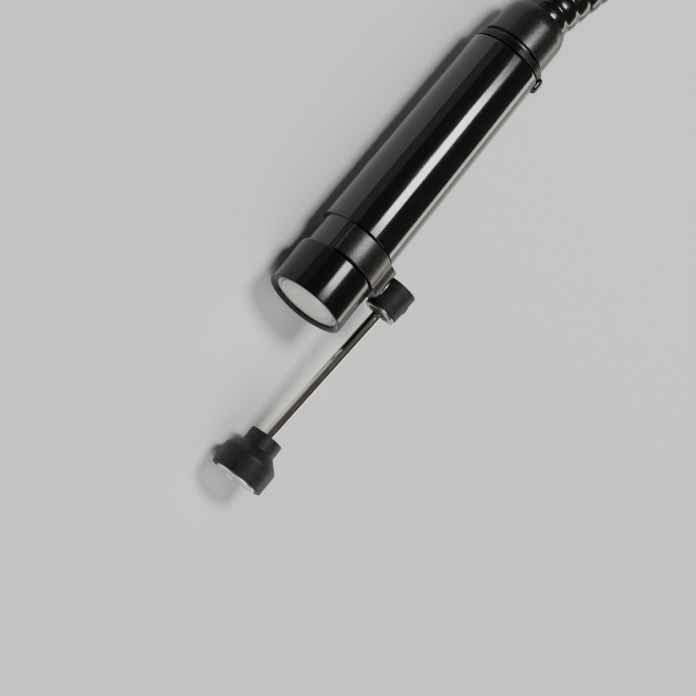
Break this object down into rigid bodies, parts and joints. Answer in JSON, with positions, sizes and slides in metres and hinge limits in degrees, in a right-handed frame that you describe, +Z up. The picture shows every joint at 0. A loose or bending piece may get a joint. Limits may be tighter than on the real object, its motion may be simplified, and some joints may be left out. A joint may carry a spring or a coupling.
{
  "type": "magnetic pickup tool",
  "caption": "Bendable-neck pickup tool: a penlight head whose clip carries a swinging rod with a booted magnet, and a slim grip at the other end.",
  "frame": {"origin": "middle of the bottom of the bounding box, on the surface that the tool lies on", "axes": "+X the way the lens points, +Z up, +Y towards the side that the magnet arm is on and that the neck bends to"},
  "size_m": [0.2546, 0.1792, 0.014],
  "materials": {
    "bezel": "gloss black anodised",
    "lens": "clear moulded lens with a faint green tint",
    "seal_rubber": "black seal rubber",
    "reflector": "vacuum plated cup",
    "led_dome": "yellow phosphor under clear resin",
    "led_base": "plain disc",
    "contact_brass": "plain",
    "battery_nub": "nickel plated",
    "battery_can": "plain film sleeve, no print",
    "spring_steel": "drawn wire",
    "barrel": "gloss black anodised",
    "rear_collar": "moulded black",
    "rear_cap": "satin black",
    "ferrule_steel": "turned",
    "clip_band": "satin black over spring steel",
    "washer_zinc": "zinc plated",
    "rivet_nickel": "nickel plated",
    "pivot_block": "matte charcoal, faintly textured",
    "ring_nickel": "satin nickel",
    "rod_steel": "polished",
    "boot_rubber": "matte mottled black",
    "magnet_nickel": "bright nickel",
    "magnet_disc": "ground nickel",
    "core_alloy": "plain drawn tube",
    "grip_rubber": "ribbed matte black",
    "grip_chrome": "bright",
    "end_cap": "gloss black anodised",
    "neck_sleeve": "interlocked hose in a ribbed gloss black sleeve"
  },
  "bodies": {
    "barrel": {"barrel_tube": "barrel", "bezel_seal": "seal_rubber", "led_base": "led_base", "led_dome": "led_dome", "front_contact": "contact_brass", "battery_nub": "battery_nub", "battery_can": "battery_can", "rear_collar": "rear_collar", "rear_cap": "rear_cap", "spring_seat": "contact_brass", "battery_spring": "spring_steel", "neck_ferrule": "ferrule_steel"},
    "lens_carrier": {"lens": "lens", "lens_seal": "seal_rubber", "reflector": "reflector"},
    "bezel": {"bezel_shell": "bezel"},
    "clip": {"clip_band": "clip_band", "pivot_washer": "washer_zinc", "pivot_rivet": "rivet_nickel"},
    "arm": {"pivot_block": "pivot_block", "socket_ring": "ring_nickel", "rod_grommet": "seal_rubber", "rod": "rod_steel", "magnet_boot": "boot_rubber", "magnet_pot": "magnet_nickel", "magnet_disc": "magnet_disc"},
    "link_01": {"neck_link_01": "neck_sleeve"},
    "link_02": {"neck_link_02": "neck_sleeve"},
    "link_03": {"neck_link_03": "neck_sleeve"},
    "link_04": {"neck_link_04": "neck_sleeve"},
    "link_05": {"neck_link_05": "neck_sleeve"},
    "link_06": {"neck_link_06": "neck_sleeve"},
    "link_07": {"neck_link_07": "neck_sleeve"},
    "link_08": {"neck_link_08": "neck_sleeve"},
    "link_09": {"neck_link_09": "neck_sleeve"},
    "link_10": {"neck_link_10": "neck_sleeve"},
    "link_11": {"neck_link_11": "neck_sleeve"},
    "grip": {"handle_ferrule": "ferrule_steel", "handle_core": "core_alloy", "grip_sleeve": "grip_rubber", "grip_ring_front": "grip_chrome", "grip_ring_rear": "grip_chrome", "end_seal": "seal_rubber", "end_cap": "end_cap"}
  },
  "joints": [
    {"name": "lens_advance", "type": "slide", "parent": "barrel", "child": "lens_carrier", "axis": [1, 0, 0], "range_m": [0, 0.0004]},
    {"name": "bezel_twist", "type": "hinge", "parent": "lens_carrier", "child": "bezel", "pos_m": [0.09601, -0.08273, 0.007], "axis": [1, 0, 0], "range_deg": [0, 180]},
    {"name": "clip_turn", "type": "hinge", "parent": "barrel", "child": "clip", "pos_m": [0.08911, -0.08273, 0.007], "axis": [1, 0, 0], "continuous": true},
    {"name": "arm_swing", "type": "hinge", "parent": "clip", "child": "arm", "pos_m": [0.08911, -0.07243, 0.00958], "axis": [0, 0.9701, 0.2425], "range_deg": [-173, 157]},
    {"name": "neck_side", "type": "hinge", "parent": "barrel", "child": "link_01", "pos_m": [0.03744, -0.08225, 0.007], "axis": [0, 0, -1], "range_deg": [-26, 6]},
    {"name": "neck_lift", "type": "hinge", "parent": "link_01", "child": "link_02", "pos_m": [0.02407, -0.07904, 0.007], "axis": [0.2334, 0.9724, 0], "range_deg": [-16, 16]},
    {"name": "neck_side_03", "type": "hinge", "parent": "link_02", "child": "link_03", "pos_m": [0.0107, -0.07583, 0.007], "axis": [0, 0, -1], "range_deg": [-26, 6]},
    {"name": "neck_lift_04", "type": "hinge", "parent": "link_03", "child": "link_04", "pos_m": [-0.00191, -0.07035, 0.007], "axis": [0.3987, 0.9171, 0], "range_deg": [-16, 16]},
    {"name": "neck_side_05", "type": "hinge", "parent": "link_04", "child": "link_05", "pos_m": [-0.01452, -0.06486, 0.007], "axis": [0, 0, -1], "range_deg": [-26, 6]},
    {"name": "neck_lift_06", "type": "hinge", "parent": "link_05", "child": "link_06", "pos_m": [-0.02599, -0.05727, 0.007], "axis": [0.5519, 0.8339, 0], "range_deg": [-16, 16]},
    {"name": "neck_side_07", "type": "hinge", "parent": "link_06", "child": "link_07", "pos_m": [-0.03746, -0.04969, 0.007], "axis": [0, 0, -1], "range_deg": [-26, 6]},
    {"name": "neck_lift_08", "type": "hinge", "parent": "link_07", "child": "link_08", "pos_m": [-0.04743, -0.04022, 0.007], "axis": [0.6884, 0.7254, 0], "range_deg": [-16, 16]},
    {"name": "neck_side_09", "type": "hinge", "parent": "link_08", "child": "link_09", "pos_m": [-0.0574, -0.03076, 0.007], "axis": [0, 0, -1], "range_deg": [-26, 6]},
    {"name": "neck_lift_10", "type": "hinge", "parent": "link_09", "child": "link_10", "pos_m": [-0.06558, -0.0197, 0.007], "axis": [0.8039, 0.5948, 0], "range_deg": [-16, 16]},
    {"name": "neck_side_11", "type": "hinge", "parent": "link_10", "child": "link_11", "pos_m": [-0.07376, -0.00865, 0.007], "axis": [0, 0, -1], "range_deg": [-26, 6]},
    {"name": "neck_lift_12", "type": "hinge", "parent": "link_11", "child": "grip", "pos_m": [-0.07989, 0.00365, 0.007], "axis": [0.8949, 0.4462, 0], "range_deg": [-16, 16]}
  ],
  "couplings": [
    {"joint": "bezel_twist", "follows": "lens_advance", "rad_per_m": 7854},
    {"joint": "neck_side_03", "follows": "neck_side", "ratio": 1},
    {"joint": "neck_lift_04", "follows": "neck_lift", "ratio": 1},
    {"joint": "neck_side_05", "follows": "neck_side", "ratio": 1},
    {"joint": "neck_lift_06", "follows": "neck_lift", "ratio": 1},
    {"joint": "neck_side_07", "follows": "neck_side", "ratio": 1},
    {"joint": "neck_lift_08", "follows": "neck_lift", "ratio": 1},
    {"joint": "neck_side_09", "follows": "neck_side", "ratio": 1},
    {"joint": "neck_lift_10", "follows": "neck_lift", "ratio": 1},
    {"joint": "neck_side_11", "follows": "neck_side", "ratio": 1},
    {"joint": "neck_lift_12", "follows": "neck_lift", "ratio": 1}
  ]
}
